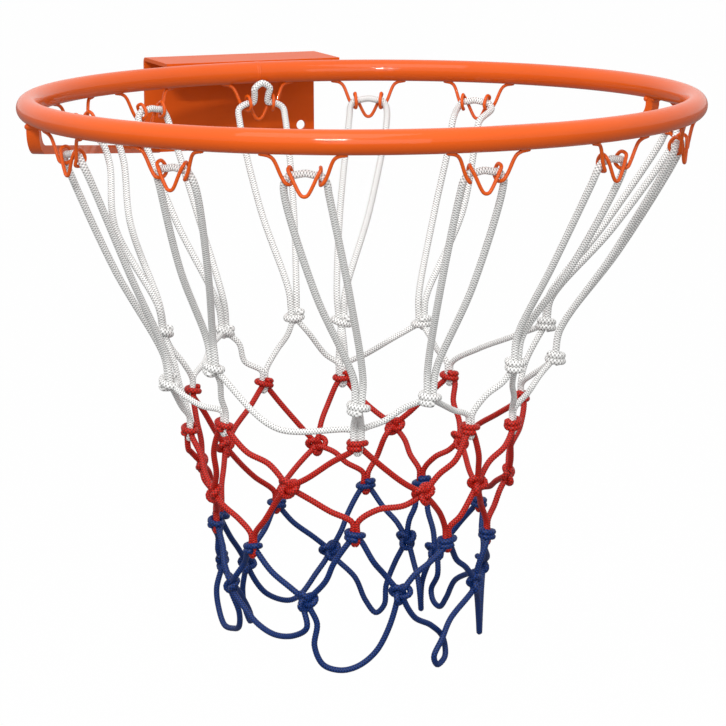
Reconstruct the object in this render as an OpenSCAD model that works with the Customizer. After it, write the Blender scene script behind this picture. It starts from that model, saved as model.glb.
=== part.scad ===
// Wall-mounted basketball rim with a hanging knotted net.
// Frame: the origin is the centre of the bolt pattern on the rear face of the
// bracket, +Y points into the wall, +Z up, and the ring lies flat on the -Y side.

/* [Ring] */
// Inside diameter of the ring, the opening that the ball falls through
ring_inner_d = 450; // [380:1:460]
// Diameter of the round bar that the ring is bent from
bar_d = 16.5; // [14:0.5:20]
// Distance from the wall to the centre of the ring
ring_reach = 303; // [290:1:320]

/* [Bracket] */
// Width of the folded bracket
bracket_w = 140; // [120:1:160]
// Height of the upright plate
bracket_h = 75; // [65:1:90]
// Thickness of the bracket sheet
sheet_t = 3; // [2:0.5:4]
// Inside radius of the fold
fold_r = 1.5; // [0.5:0.5:4]
// Diameter of the four bolt holes
hole_d = 7.5; // [5:0.5:9]
// Distance between the bolt holes across the plate
hole_pitch_x = 118; // [100:1:120]
// Distance between the bolt holes up the plate
hole_pitch_z = 42; // [36:1:48]

/* [Braces] */
// Width of the flat brace bar
brace_w = 9; // [7:0.5:12]
// Thickness of the flat brace bar
brace_t = 6; // [4:0.5:7]
// Angle round the ring from the bracket to each brace weld
brace_angle = 86; // [82:1:88]
// Depth of the brace bend below the centre of the ring
brace_drop = 11; // [10:1:16]
// Inside radius of the brace bend
brace_bend_r = 12; // [8:1:14]

/* [Net hooks] */
// Diameter of the hook wire
wire_d = 2.5; // [2:0.1:3]
// Drop of the bottom of each hook below the centre of the ring
hook_drop = 35.5; // [33:0.5:38]
// Length of each weld bead between a hook and the ring
hook_weld_l = 9; // [6:1:10]
// Angle between neighbours among the five hooks on the bracket's side
back_pitch = 22.5; // [21:0.5:24]
// Angle between neighbours among the seven hooks on the far side
front_pitch = 26.5; // [25:0.5:27]

/* [Net] */
// Diameter of the white braided cord
white_d = 4.8; // [4.2:0.1:5]
// Diameter of the red and blue braided cords, and of the ties inside a knot
cord_d = 4; // [3.4:0.1:4.2]
// Clearance between a tie and the knot that slides on it
tie_gap = 0.35; // [0.3:0.05:0.5]
// Radius of the tight core of a knot
knot_core_r = 5.5; // [5:0.1:6]
// Sideways drift of the hanging net for each millimetre that it hangs
net_lean = 0.03; // [0:0.01:0.04]
// How far the legs of a top loop bow apart halfway down
loop_bow = 4; // [2:1:6]

// Depth of the white knots below the centre of the ring
net_top_drop = 180; // [170:1:190]
// Height between two neighbouring rows of knots
net_row_pitch = 39; // [37:0.5:41]

/* [Hidden] */
bar_r = bar_d / 2;
ring_r = ring_inner_d / 2 + bar_r;
wire_r = wire_d / 2;
weld_r = 2.2;
bite = 1;

// The ring's top sits just under the top of the bracket.
ring_z = bracket_h / 2 - bar_r - 0.25;
flange_low = bracket_h / 2 - sheet_t;
flange_front = ring_reach - ring_r - sqrt(bar_r ^ 2 - (flange_low - ring_z) ^ 2);

// Each brace runs from under the ring to the lower corner of the bracket.
brace_inset = 6;
brace_mean_r = brace_bend_r + brace_t / 2;
brace_low_z = ring_z - brace_drop - brace_mean_r;
brace_end_z = (brace_t - bracket_h) / 2;

// Angle of each hook round the ring, from the bracket (+Y) towards +X. A gap is left
// on each side for a brace, between the two groups.
EVEN_HOOKS = concat([for (k = [0:2]) k * back_pitch], [for (k = [-3:3]) 180 + k * front_pitch],
    [for (k = [-2:-1]) 360 + k * back_pitch]);
// The hooks are welded on by hand, so some sit a degree or more from their even place.
HOOK_NUDGE = [0, -1, -2, 0, -1, 0, 0, 3, 0, 0, 0, -2];
HOOKS = EVEN_HOOKS + HOOK_NUDGE;

// The low foot of a hook, the place of its eyes along the ring, and the cord in them.
foot_z = 28;
eye_t = 10;
eye_n = -8.5;
cord_z = -22.5;
// How far out the legs of a loop hang, and how high a leg spreads above its knot.
leg_out = 14.5;
neck_z = 14;

// The cord of this loop is pulled up in an arch between its eyes, and its legs bulge.
arch_loop = 0;
arch_bulge = 4;
ARCH = [[-5.5, -11, -16], [-6, -13, -11], [0, -13.5, -7], [6, -13, -11], [5.5, -11, -16]];

// The net has five rows of knots, each with its own radius and height under the ring.
ROW_R = [140, 120, 110, 100, 95];
ROW_Z = [for (k = [0:len(ROW_R) - 1]) -net_top_drop - k * net_row_pitch];

// Net points are [angle from +Y towards +X, radius, height above the ring].
function row(n, knots) = [for (q = knots) [q[0], ROW_R[n], ROW_Z[n] + q[1]]];

// Each knot's angle and its lift above its row: a hand-tied net hangs unevenly.
WHITE = row(0, [[0, 5], [15, 0], [40, 0], [95, 15], [115, 0], [150, 10],
    [180, -5], [200, -10], [245, 10], [270, -10], [295, 15], [335, 0]]);
RED = row(1, [[15, 0], [55, 5], [100, 5], [135, 0], [160, 5],
    [200, 0], [250, 5], [280, -10], [300, 10], [345, 0]]);
RED_LOW = row(2, [[35, 5], [65, 0], [120, -5], [150, 0], [175, 0],
    [225, 5], [265, -10], [290, 0], [320, 0], [365, -10]]);
BLUE = row(3, [[50, 5], [85, 0], [130, -5], [160, 0], [200, 10],
    [245, -5], [280, 0], [305, -5], [345, -10], [385, 0]]);
BLUE_LOW = row(4, [[60, -5], [100, 0], [135, 0], [180, 5], [220, 0],
    [265, 0], [295, 5], [325, -10], [370, -10], [405, 0]]);

// The loops beside the braces drop steeply inside them before they run down.
STEEP = [2, 10];
steep_turn = 3;
STEEP_POINTS = [[205, -35], [198, -50]];

// The two loops whose legs share a red knot end just above it.
SHARED = [[1, 0], [7, 5]];
// Each white tie hangs between two white knots and passes through a red knot.
WHITE_TIES = [[0, 2, 0], [2, 3, 1], [3, 4, 2], [4, 5, 3], [5, 6, 4], [6, 8, 5], [8, 9, 6], [9, 10, 7],
    [10, 11, 8], [11, 0, 9]];
// The last stretch of this tie sags a long way round the front.
sag_tie = 5;
sag_point = [225, 130, -215];

// Each bottom loop hangs in its own way. Its points are [share of the way from one knot
// to the next, distance outwards, distance down].
TAILS = [
    [[0, 0, 14], [-0.15, 0, 27], [-0.1, 0, 35], [0.05, 0, 38], [0.2, 0, 30], [0.4, 0, 15]],
    [[0.2, 0, 12], [0.4, 0, 30], [0.5, 0, 40], [0.6, 0, 30], [0.8, 0, 12]],
    [[0.35, 1, 19], [0.5, 3, 32], [0.6, 2, 44], [0.52, 0, 51], [0.4, -1, 46], [0.4, -3, 33],
        [0.6, -1, 22], [0.85, 0, 14]],
    [[0.1, 0, 20], [0.25, 0, 36], [0.45, 0, 45], [0.65, 0, 47], [0.85, 0, 42], [0.95, 0, 28], [0.92, 0, 12]],
    [[-0.05, 0, 14], [0.12, 0, 22], [0.4, 0, 25], [0.65, 0, 20], [0.85, 0, 10]],
    [[0, -6, 17], [0.15, -7, 30], [0.5, -5, 38], [0.8, 0, 40], [0.95, 3, 30], [1, 4, 16]],
    [[0.3, 0, 9], [0.7, -2, 20], [1.05, -3, 33], [1.2, 0, 38], [1.15, 3, 29], [1.05, 3, 14]],
    [[0.2, 0, 20], [0.5, 0, 29], [0.65, 0, 26], [0.85, 0, 12]],
    [[0.3, 0, 19], [0.45, 0, 38], [0.6, 0, 49], [0.72, 0, 44], [0.75, 0, 29], [0.88, 0, 12]],
    [[0.15, 0, 10], [0.45, -3, 21], [0.55, -3, 34], [0.5, 0, 45], [0.4, 3, 38], [0.45, 3, 26], [0.7, 1, 13]]];

ORANGE = "#E8571E";
WHITE_CORD = "#F2F2F0";
RED_CORD = "#C8201E";
BLUE_CORD = "#1E3A7A";

// ---- points and curves ------------------------------------------------------

// Below the hooks the net drifts a little towards -X as it hangs.
function drift(z) = net_lean * max(0, -z - 60);

function at_ring(p) = [p[1] * sin(p[0]) - drift(p[2]), p[1] * cos(p[0]) - ring_reach, ring_z + p[2]];

// A point beside a net point: t along the ring, n outwards, z up.
function beside(p, t, n, z) = at_ring(p)
    + t * [cos(p[0]), -sin(p[0]), 0] + n * [sin(p[0]), cos(p[0]), 0] + [0, 0, z];

function between(a, b, u) = a + (b - a) * u;

// A cubic from b to c. Its slope at each end is weighed by the lengths on both sides,
// so that a short step next to a long one doesn't overshoot.
function curve_point(a, b, c, d, u) = let (
    l = norm(c - b),
    m = l * (c - a) / (norm(b - a) + l),
    n = l * (d - b) / (l + norm(d - c)))
    (2 * u ^ 3 - 3 * u ^ 2 + 1) * b + (u ^ 3 - 2 * u ^ 2 + u) * m
        + (3 * u ^ 2 - 2 * u ^ 3) * c + (u ^ 3 - u ^ 2) * n;

// A smooth curve through every point, with the given number of steps between two.
function smooth(p, steps) = let (last = len(p) - 1) concat(
    [for (i = [0:last - 1], k = [0:steps - 1])
        curve_point(p[max(i - 1, 0)], p[i], p[i + 1], p[min(i + 2, last)], k / steps)],
    [p[last]]);

function unit(v) = v / norm(v);

function heading(p, i) = unit(p[min(i + 1, len(p) - 1)] - p[max(i - 1, 0)]);

// One sideways vector for each point, carried along so that the tube doesn't twist.
function sideways(p, start, i = 0) = i == len(p) ? [] :
    let (h = heading(p, i), s = unit(start - (start * h) * h)) concat([s], sideways(p, s, i + 1));

module tube(p, d, sides = 6) {
    side = sideways(p, [0.31, 0.22, 0.92]);
    last = (len(p) - 1) * sides;
    points = [for (i = [0:len(p) - 1], k = [0:sides - 1]) let (a = 360 * k / sides)
        p[i] + d / 2 * (cos(a) * side[i] + sin(a) * cross(heading(p, i), side[i]))];
    wall = [for (i = [0:len(p) - 2], k = [0:sides - 1])
        let (a = i * sides + k, b = i * sides + (k + 1) % sides)
            each [[a, b + sides, b], [a, a + sides, b + sides]]];
    caps = [[for (k = [0:sides - 1]) k], [for (k = [sides - 1:-1:0]) last + k]];
    polyhedron(points, concat(wall, caps));
}

// ---- steel ------------------------------------------------------------------

module ring_bar(r) {
    translate([0, -ring_reach, ring_z])
        rotate_extrude($fn = 180) translate([ring_r, 0]) circle(r, $fn = 48);
}

module ring() color(ORANGE) ring_bar(bar_r);

// The butt weld of the bar, proud by a hair on the side that faces the hole.
module ring_seam() color(ORANGE) translate([-1.5, ring_r - ring_reach, ring_z])
    rotate([0, 90, 0]) rotate([0, 0, 165]) rotate_extrude(angle = 210, $fn = 48)
        translate([bar_r - 0.3, 0]) square([0.55, 0.8]);

module fold_profile() {
    outer = fold_r + sheet_t;
    translate([-sheet_t, -bracket_h / 2]) square([sheet_t, bracket_h - outer]);
    translate([-flange_front, flange_low]) square([flange_front - outer, sheet_t]);
    translate([-outer, bracket_h / 2 - outer]) intersection() {
        difference() {
            circle(outer, $fn = 48);
            circle(fold_r, $fn = 48);
        }
        square(outer);
    }
}

module bracket() color(ORANGE) difference() {
    translate([-bracket_w / 2, 0, 0]) rotate([90, 0, 90]) linear_extrude(bracket_w) fold_profile();
    for (x = [-1, 1], z = [-1, 1])
        translate([x * hole_pitch_x / 2, bite, z * hole_pitch_z / 2])
            rotate([90, 0, 0]) cylinder(d = hole_d, h = sheet_t + 2 * bite, $fn = 48);
}

module bead(l, r) {
    translate([-l / 2, 0, 0]) rotate([0, 90, 0]) cylinder(r = r, h = l, $fn = 24);
    for (x = [-l / 2, l / 2]) translate([x, 0, 0]) sphere(r, $fn = 24);
}

module bracket_weld() color(ORANGE)
    translate([0, -flange_front + weld_r / 2, flange_low - weld_r / 4]) bead(48, weld_r);

brace_start = [ring_r * sin(brace_angle), ring_r * cos(brace_angle) - ring_reach];
brace_end = [bracket_w / 2 - brace_inset, -sheet_t];
brace_run = norm(brace_end - brace_start);
brace_turn = atan2(brace_end[1] - brace_start[1], brace_end[0] - brace_start[0]);
brace_slope = atan((brace_low_z - brace_end_z) / (brace_run - brace_mean_r));
bend_steps = 12;

// The side view of a brace: an upright leg, a bend and a straight run to the wall.
module brace_profile() {
    centre = [brace_mean_r, ring_z - brace_drop];
    sweep = 90 - brace_slope;
    outer = [for (k = [0:bend_steps]) let (a = 180 + sweep * k / bend_steps)
        centre + (brace_bend_r + brace_t) * [cos(a), sin(a)]];
    inner = [for (k = [bend_steps:-1:0]) let (a = 180 + sweep * k / bend_steps)
        centre + brace_bend_r * [cos(a), sin(a)]];
    run = (brace_run + brace_w) * [cos(brace_slope), -sin(brace_slope)];
    polygon(concat([[-brace_t / 2, ring_z]], outer, [outer[bend_steps] + run, inner[0] + run],
        inner, [[brace_t / 2, ring_z]]));
}

// One brace on the +X side, coped to the ring and cut flush with the bracket.
module brace() difference() {
    translate([brace_start[0], brace_start[1], 0]) rotate([0, 0, brace_turn]) rotate([90, 0, 0])
        translate([0, 0, -brace_w / 2]) linear_extrude(brace_w) brace_profile();
    ring_bar(bar_r);
    translate([0, -sheet_t, -bracket_h]) cube([bracket_w, 3 * brace_w, 2 * bracket_h]);
}

module brace_left() color(ORANGE) mirror([1, 0, 0]) brace();
module brace_right() color(ORANGE) brace();

module brace_welds() color(ORANGE) for (s = [0, 1]) mirror([s, 0, 0]) {
    translate([brace_start[0], brace_start[1], ring_z - bar_r]) rotate([0, 0, brace_turn + 90])
        for (n = [-1, 1]) translate([0, n * brace_t / 2, 0]) bead(brace_w - weld_r, weld_r);
    translate([brace_end[0], brace_end[1], brace_end_z + brace_t / 2]) bead(brace_w, weld_r * 0.7);
}

// The wire of one hook: a weld foot, a leg, an open eye and half of the middle V.
function hook_side(s) = [
    [s * 28, -1, -bar_r - wire_r], [s * 22.5, -1, -bar_r - wire_r],
    [s * 19.5, -2, -bar_r - wire_r - 2], [s * 14.5, -4, -foot_z + 5],
    [s * 12, -4.5, -foot_z + 1], [s * (eye_t + 0.5), -6, -foot_z],
    [s * (eye_t - 0.5), -9.5, -foot_z], [s * (eye_t - 1), -13, -foot_z + 3.5],
    [s * (eye_t - 0.5), -12, -foot_z + 8], [s * eye_t, -8.5, -foot_z + 11],
    [s * (eye_t + 0.5), -5, -foot_z + 9.5], [s * (eye_t - 1.5), -4, -foot_z + 5.5],
    [s * 2.5, -4, 2 - hook_drop]];

function reversed(p) = [for (i = [len(p) - 1:-1:0]) p[i]];

function hook_path(a) = [for (q = concat(hook_side(-1), [[0, -4, -hook_drop]], reversed(hook_side(1))))
    beside([a, ring_r, 0], q[0], q[1], q[2])];

module hook(i) color(ORANGE) tube(smooth(hook_path(HOOKS[i]), 2), wire_d);

module hook_welds() color(ORANGE) for (a = HOOKS, s = [-1, 1])
    translate(beside([a, ring_r, 0], s * 26, -1, -bar_r - wire_r / 2)) rotate([0, 0, -a])
        bead(hook_weld_l - 2 * wire_r, wire_r * 1.35);

// ---- net --------------------------------------------------------------------

function is_steep(i) = len([for (k = STEEP) if (k == i) k]) > 0;

// One leg of a top loop, from the hook's eye down to its white knot.
function loop_leg(i, s) = let (
    top = [HOOKS[i], ring_r, 0],
    low = WHITE[i],
    out = leg_out + (i == arch_loop ? arch_bulge : 0),
    eye = beside(top, s * out, eye_n, cord_z),
    mid = between(eye, at_ring(low), 0.5) + s * loop_bow * [cos(HOOKS[i]), -sin(HOOKS[i]), 0])
    concat([beside(top, s * 6, eye_n, cord_z + 0.5), beside(top, s * eye_t, eye_n, cord_z),
        beside(top, s * (out - 1), eye_n - 0.5, cord_z - 4)],
        is_steep(i) ? [for (q = STEEP_POINTS) at_ring([HOOKS[i] + s * steep_turn, q[0], q[1]])]
            : [beside(top, s * out, eye_n - 4.5, cord_z - 13)],
        [mid, beside(low, s * 3, 3, knot_core_r + neck_z),
            beside(low, s * (white_d / 2 + 0.1), 0.6, knot_core_r + 1.2)]);

// The cord between the two eyes of a hook rises a little, or stands up in the arch.
function eye_span(i) = [for (q = i == arch_loop ? ARCH : [[0, eye_n, cord_z + 1.5]])
    beside([HOOKS[i], ring_r, 0], q[0], q[1], q[2])];

module top_loop(i) color(WHITE_CORD)
    tube(smooth(concat(reversed(loop_leg(i, -1)), eye_span(i), loop_leg(i, 1)), 2), white_d);

// A tight knot: a round core with one wrap of cord about it.
module tight_knot(p) translate(at_ring(p)) {
    sphere(knot_core_r, $fn = 32);
    rotate_extrude($fn = 32) translate([knot_core_r - 0.4, 0]) circle(cord_d / 2, $fn = 24);
}

wrap_hole = cord_d + 0.15 + tie_gap;
wrap_r = wrap_hole + cord_d / 2;

// A knot wrapped round the two legs of a tie, with a hole for them.
module wrap_knot(p) translate(at_ring(p))
    rotate_extrude($fn = 48) translate([wrap_r, 0]) circle(cord_d / 2, $fn = 24);

module white_knots() color(WHITE_CORD) for (p = WHITE) tight_knot(p);
module red_knots() color(RED_CORD) for (p = RED) wrap_knot(p);
module red_low_knots() color(RED_CORD) for (p = RED_LOW) tight_knot(p);
module blue_knots() color(BLUE_CORD) for (p = BLUE) wrap_knot(p);
module blue_low_knots() color(BLUE_CORD) for (p = BLUE_LOW) tight_knot(p);

// The lower bend of a tie, where it passes through the knot that hangs on it.
function tie_bend(p, s) = let (t = s * (cord_d / 2 + 0.15)) [
    beside(p, t, 0, 8), beside(p, t, 0, 2), beside(p, t, 0, -3), beside(p, t * 0.75, 0, -6)];

function toward(a, b) = unit(at_ring(b) - at_ring(a));

// Where a cord leaves a knot on its way to another one, a bite inside the core.
function leaves(a, b) = at_ring(a) + (knot_core_r - bite) * toward(a, b);

// A tie from one knot, through the wrap of a lower knot and back up to another.
function tie_path(a, low, b, sag = []) = concat([leaves(a, low)], tie_bend(low, -1),
    [beside(low, 0, 0, -7.5)], reversed(tie_bend(low, 1)), sag, [leaves(b, low)]);

module white_ties() color(WHITE_CORD) {
    for (k = [0:len(WHITE_TIES) - 1]) {
        t = WHITE_TIES[k];
        sag = k == sag_tie ? [at_ring(sag_point)] : [];
        tube(smooth(tie_path(WHITE[t[0]], RED[t[2]], WHITE[t[1]], sag), 2), cord_d);
    }
    for (q = SHARED, s = [-1, 1]) {
        low = RED[q[1]];
        tube([leaves(WHITE[q[0]], low), beside(low, s * 5, -4, 12), beside(low, s * 4, -3, 6)], cord_d);
    }
}

// The two cords from every wrapped knot down to the tight knots on each side of it.
module legs(knots, lows) {
    count = len(knots);
    for (k = [0:count - 1], q = [[(k + count - 1) % count, -1], [k, 1]])
        tube(smooth([beside(knots[k], q[1] * wrap_r, 0, 0), beside(knots[k], q[1] * (wrap_r + 2), 0, -8),
            leaves(lows[q[0]], knots[k])], 2), cord_d);
}

module red_legs() color(RED_CORD) legs(RED, RED_LOW);
module blue_legs() color(BLUE_CORD) legs(BLUE, BLUE_LOW);

module red_ties() color(RED_CORD) for (k = [0:len(BLUE) - 1])
    tube(smooth(tie_path(RED_LOW[k], BLUE[k], RED_LOW[(k + 1) % len(BLUE)]), 2), cord_d);

// A bottom loop hangs between two neighbouring low knots.
module tail_loop(k) color(BLUE_CORD) {
    first = BLUE_LOW[k];
    second = BLUE_LOW[(k + 1) % len(BLUE_LOW)];
    start = beside(first, 2.5, 0, bite - knot_core_r);
    stop = beside(second, -2.5, 0, bite - knot_core_r);
    out = unit(cross([0, 0, 1], stop - start));
    hanging = [for (q = TAILS[k]) between(start, stop, q[0]) + q[1] * out - [0, 0, q[2]]];
    tube(smooth(concat([start], hanging, [stop]), 3), cord_d);
}

ring();
ring_seam();
bracket();
bracket_weld();
brace_left();
brace_right();
brace_welds();
hook(0);  // hook_01
hook(1);  // hook_02
hook(2);  // hook_03
hook(3);  // hook_04
hook(4);  // hook_05
hook(5);  // hook_06
hook(6);  // hook_07
hook(7);  // hook_08
hook(8);  // hook_09
hook(9);  // hook_10
hook(10);  // hook_11
hook(11);  // hook_12
hook_welds();
top_loop(0);  // top_loop_01
top_loop(1);  // top_loop_02
top_loop(2);  // top_loop_03
top_loop(3);  // top_loop_04
top_loop(4);  // top_loop_05
top_loop(5);  // top_loop_06
top_loop(6);  // top_loop_07
top_loop(7);  // top_loop_08
top_loop(8);  // top_loop_09
top_loop(9);  // top_loop_10
top_loop(10);  // top_loop_11
top_loop(11);  // top_loop_12
white_knots();
white_ties();
red_knots();
red_legs();
red_low_knots();
red_ties();
blue_knots();
blue_legs();
blue_low_knots();
tail_loop(0);  // tail_loop_01
tail_loop(1);  // tail_loop_02
tail_loop(2);  // tail_loop_03
tail_loop(3);  // tail_loop_04
tail_loop(4);  // tail_loop_05
tail_loop(5);  // tail_loop_06
tail_loop(6);  // tail_loop_07
tail_loop(7);  // tail_loop_08
tail_loop(8);  // tail_loop_09
tail_loop(9);  // tail_loop_10
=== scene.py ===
"""Basketball rim with a knotted net: its steel, its cords, their finishes and a plain studio.

Shapes are worked out in millimetres and become metres where a mesh is made. The net's points
are the ones that its construction uses: an angle round the ring, a radius and a height.
"""

import logging
import math
from dataclasses import dataclass, field, replace
from enum import Enum

import bmesh
import bpy
import numpy as np
from mathutils import Matrix, Vector


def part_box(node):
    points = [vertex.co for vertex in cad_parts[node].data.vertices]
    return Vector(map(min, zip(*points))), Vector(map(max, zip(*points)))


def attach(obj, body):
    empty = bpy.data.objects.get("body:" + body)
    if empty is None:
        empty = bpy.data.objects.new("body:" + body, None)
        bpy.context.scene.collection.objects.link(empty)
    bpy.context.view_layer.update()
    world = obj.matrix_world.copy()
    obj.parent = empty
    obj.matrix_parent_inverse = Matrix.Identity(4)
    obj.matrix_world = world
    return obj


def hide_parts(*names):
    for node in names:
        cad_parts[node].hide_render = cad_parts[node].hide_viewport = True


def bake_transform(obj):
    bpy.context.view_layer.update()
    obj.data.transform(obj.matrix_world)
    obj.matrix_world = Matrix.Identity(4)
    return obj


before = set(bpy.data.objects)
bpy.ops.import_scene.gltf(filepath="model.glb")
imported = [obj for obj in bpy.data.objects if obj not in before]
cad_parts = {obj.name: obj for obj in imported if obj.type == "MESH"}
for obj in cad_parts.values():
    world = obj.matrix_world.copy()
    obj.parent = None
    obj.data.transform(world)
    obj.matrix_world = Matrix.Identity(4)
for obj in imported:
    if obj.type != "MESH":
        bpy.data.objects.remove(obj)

LOG = logging.getLogger("rim")
MM = 0.001
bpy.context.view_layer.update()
CURVE_STEPS = 24
STEPS_PER_PICK = 4
START_SIDE = (0.31, 0.22, 0.92)
WHITE = (1, 1, 1, 1)


class Body(Enum):
    """The bodies of the frame that pieces ride on."""

    RIM = "rim"
    COLLAR = "net_collar"
    SKIRT = "net_skirt"
    TAIL = "net_tail"


class Slot(Enum):
    """The material slots of the record."""

    STEEL = "orange_powder_coat"
    WHITE = "white_cord"
    RED = "red_cord"
    BLUE = "blue_cord"


# ---- curves and surfaces ------------------------------------------------------


def unit(vectors: np.ndarray) -> np.ndarray:
    """Returns the vectors, along the last axis, at length 1."""
    return vectors / np.maximum(np.linalg.norm(vectors, axis=-1, keepdims=True), 1e-12)


def length_along(path: np.ndarray) -> np.ndarray:
    """Returns how far along the path each of its points lies."""
    return np.concatenate([[0], np.cumsum(np.linalg.norm(np.diff(path, axis=0), axis=1))])


def smooth_path(points: np.ndarray, step: float) -> np.ndarray:
    """Draws a centripetal Catmull-Rom curve through the points, at even steps.

    Knots along a span are spaced by the square root of the distance between points, which
    keeps the curve free of loops where near and far points follow each other.

    Args:
        points: The points that the curve passes through, one a row.
        step: The distance between two points of the result.

    Returns:
        The points of the curve, one a row.
    """
    p = np.vstack([2 * points[0] - points[1], points, 2 * points[-1] - points[-2]])
    gap = np.sqrt(np.maximum(np.linalg.norm(np.diff(p, axis=0), axis=1), 1e-6))[:, None, None]
    a, b, c, d = (p[i : len(p) - 3 + i, None] for i in range(4))
    t1 = gap[:-2]
    t2 = t1 + gap[1:-1]
    t3 = t2 + gap[2:]
    t = t1 + (t2 - t1) * np.linspace(0, 1, CURVE_STEPS, endpoint=False)[None, :, None]
    ab = (t1 - t) / t1 * a + t / t1 * b
    bc = (t2 - t) / (t2 - t1) * b + (t - t1) / (t2 - t1) * c
    cd = (t3 - t) / (t3 - t2) * c + (t - t2) / (t3 - t2) * d
    abc = (t2 - t) / t2 * ab + t / t2 * bc
    bcd = (t3 - t) / (t3 - t1) * bc + (t - t1) / (t3 - t1) * cd
    line = ((t2 - t) / (t2 - t1) * abc + (t - t1) / (t2 - t1) * bcd).reshape(-1, 3)
    line = np.vstack([line, points[-1]])
    along = length_along(line)
    at = np.linspace(0, along[-1], max(4, round(along[-1] / step) + 1))
    return np.stack([np.interp(at, along, line[:, k]) for k in range(3)], axis=1)


def carried_sides(path: np.ndarray) -> tuple[np.ndarray, np.ndarray]:
    """Carries two side vectors along a path without twist.

    Each ring's first side is the last ring's, less its part along the path, at length 1; the
    second is the cross product of the path's direction with the first.

    Args:
        path: The points of the path, one a row.

    Returns:
        The first and second side vector at each point.
    """
    ahead = unit(np.gradient(path, axis=0))
    first = np.empty_like(path)
    side = np.array(START_SIDE)
    for ring, heading in enumerate(ahead):
        side = unit(side - (side @ heading) * heading)
        first[ring] = side
    return first, np.cross(ahead, first)


@dataclass
class Surface:
    """Faces gathered from several grids, which become one mesh."""

    points: list[np.ndarray] = field(default_factory=list)
    faces: list[list[int]] = field(default_factory=list)
    uvs: list[np.ndarray] = field(default_factory=list)
    count: int = 0

    def add_grid(self, grid: np.ndarray, u: np.ndarray, looped: bool = False) -> None:
        """Adds rings of points, closed round each ring and capped at both ends or looped.

        A face joins points k and k+1 of ring i to the same points of ring i+1, in the order
        that makes it point outwards.

        Args:
            grid: Points as rings by sides by 3, in millimetres.
            u: The pattern's place along the path at each ring.
            looped: Whether the last ring joins the first, with no fan at the ends.
        """
        rings, sides = grid.shape[:2]
        spans = rings if looped else rings - 1
        i, k = np.meshgrid(np.arange(spans), np.arange(sides), indexing="ij")
        after, beside = (i + 1) % rings, (k + 1) % sides
        here, there = i * sides, after * sides
        quads = np.stack([here + k, here + beside, there + beside, there + k], -1)
        u_end = np.append(u, 2 * u[-1] - u[-2])
        corner_u = np.stack([u_end[i], u_end[i], u_end[i + 1], u_end[i + 1]], -1)
        corner_v = np.stack([k, k + 1, k + 1, k], -1) / sides
        self.faces += (quads.reshape(-1, 4) + self.count).tolist()
        self.uvs.append(np.stack([corner_u, corner_v], -1).reshape(-1, 2))
        self.points.append(grid.reshape(-1, 3))
        self.count += rings * sides
        if not looped:
            first_rim = np.arange(sides)[::-1] + self.count - rings * sides
            last_rim = np.arange(sides) + self.count - sides
            self._add_fan(grid[0].mean(0), first_rim, u[0])
            self._add_fan(grid[-1].mean(0), last_rim, u[-1])

    def _add_fan(self, centre: np.ndarray, rim: np.ndarray, u: float) -> None:
        """Closes an end with triangles from its centre to each side of its rim."""
        triangles = np.stack([np.full(len(rim), self.count), rim, np.roll(rim, -1)], -1)
        self.faces += triangles.tolist()
        self.uvs.append(np.full((3 * len(rim), 2), [u, 0.5]))
        self.points.append(centre[None])
        self.count += 1

    def build(self, name: str, material: bpy.types.Material) -> bpy.types.Object:
        """Makes the object, smooth shaded, with the pattern's coordinates in the map "along".

        Args:
            name: The piece's name.
            material: Its finish.

        Returns:
            The new object, at the origin.
        """
        mesh = bpy.data.meshes.new(name)
        mesh.from_pydata(np.vstack(self.points) * MM, [], self.faces)
        mesh.polygons.foreach_set("use_smooth", np.ones(len(mesh.polygons), bool))
        layer = mesh.uv_layers.new(name="along")
        layer.data.foreach_set("uv", np.vstack(self.uvs).astype(np.float32).ravel())
        mesh.materials.append(material)
        mesh.validate()
        made = bpy.data.objects.new(name, mesh)
        bpy.context.scene.collection.objects.link(made)
        return made


def round_bar(path: np.ndarray, radius: np.ndarray, sides: int) -> np.ndarray:
    """Carries a circle along a path.

    A point is the path's point plus the radius times (cos a * first side + sin a * second).

    Args:
        path: The centre line, one point a row.
        radius: The radius at each ring, or at each ring and side.
        sides: How many points each ring has.

    Returns:
        The grid of points, rings by sides by 3.
    """
    first, second = carried_sides(path)
    angle = 2 * math.pi * np.arange(sides) / sides
    cos, sin = np.cos(angle)[None, :, None], np.sin(angle)[None, :, None]
    around = cos * first[:, None] + sin * second[:, None]
    return path[:, None] + np.reshape(radius, (len(path), -1, 1)) * around


# ---- finishes -----------------------------------------------------------------


def linear(colour: str) -> tuple[float, float, float, float]:
    """Turns an sRGB hex colour such as "#E8571E" to linear RGBA."""
    parts = [int(colour[i : i + 2], 16) / 255 for i in (1, 3, 5)]
    return (*[p / 12.92 if p <= 0.04045 else ((p + 0.055) / 1.055) ** 2.4 for p in parts], 1.0)


def add_node(tree: bpy.types.NodeTree, kind: str, settings: dict, inputs: dict) -> bpy.types.Node:
    """Adds a node with its settings and links.

    Args:
        tree: The material's or the world's node tree.
        kind: The node's type, such as "ShaderNodeMath".
        settings: The node's own properties by name.
        inputs: Its inputs by name or number, each a value or another node's output.

    Returns:
        The new node.
    """
    made = tree.nodes.new(kind)
    for key, value in settings.items():
        setattr(made, key, value)
    for key, value in inputs.items():
        if isinstance(value, bpy.types.NodeSocket):
            tree.links.new(value, made.inputs[key])
        else:
            made.inputs[key].default_value = value
    return made


def new_material(name: str) -> tuple[bpy.types.Material, bpy.types.NodeTree, bpy.types.Node]:
    """Returns an empty node material, its tree and its output node."""
    material = bpy.data.materials.new(name)
    material.use_nodes = True
    material.node_tree.nodes.clear()
    output = add_node(material.node_tree, "ShaderNodeOutputMaterial", {}, {})
    return material, material.node_tree, output


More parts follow.
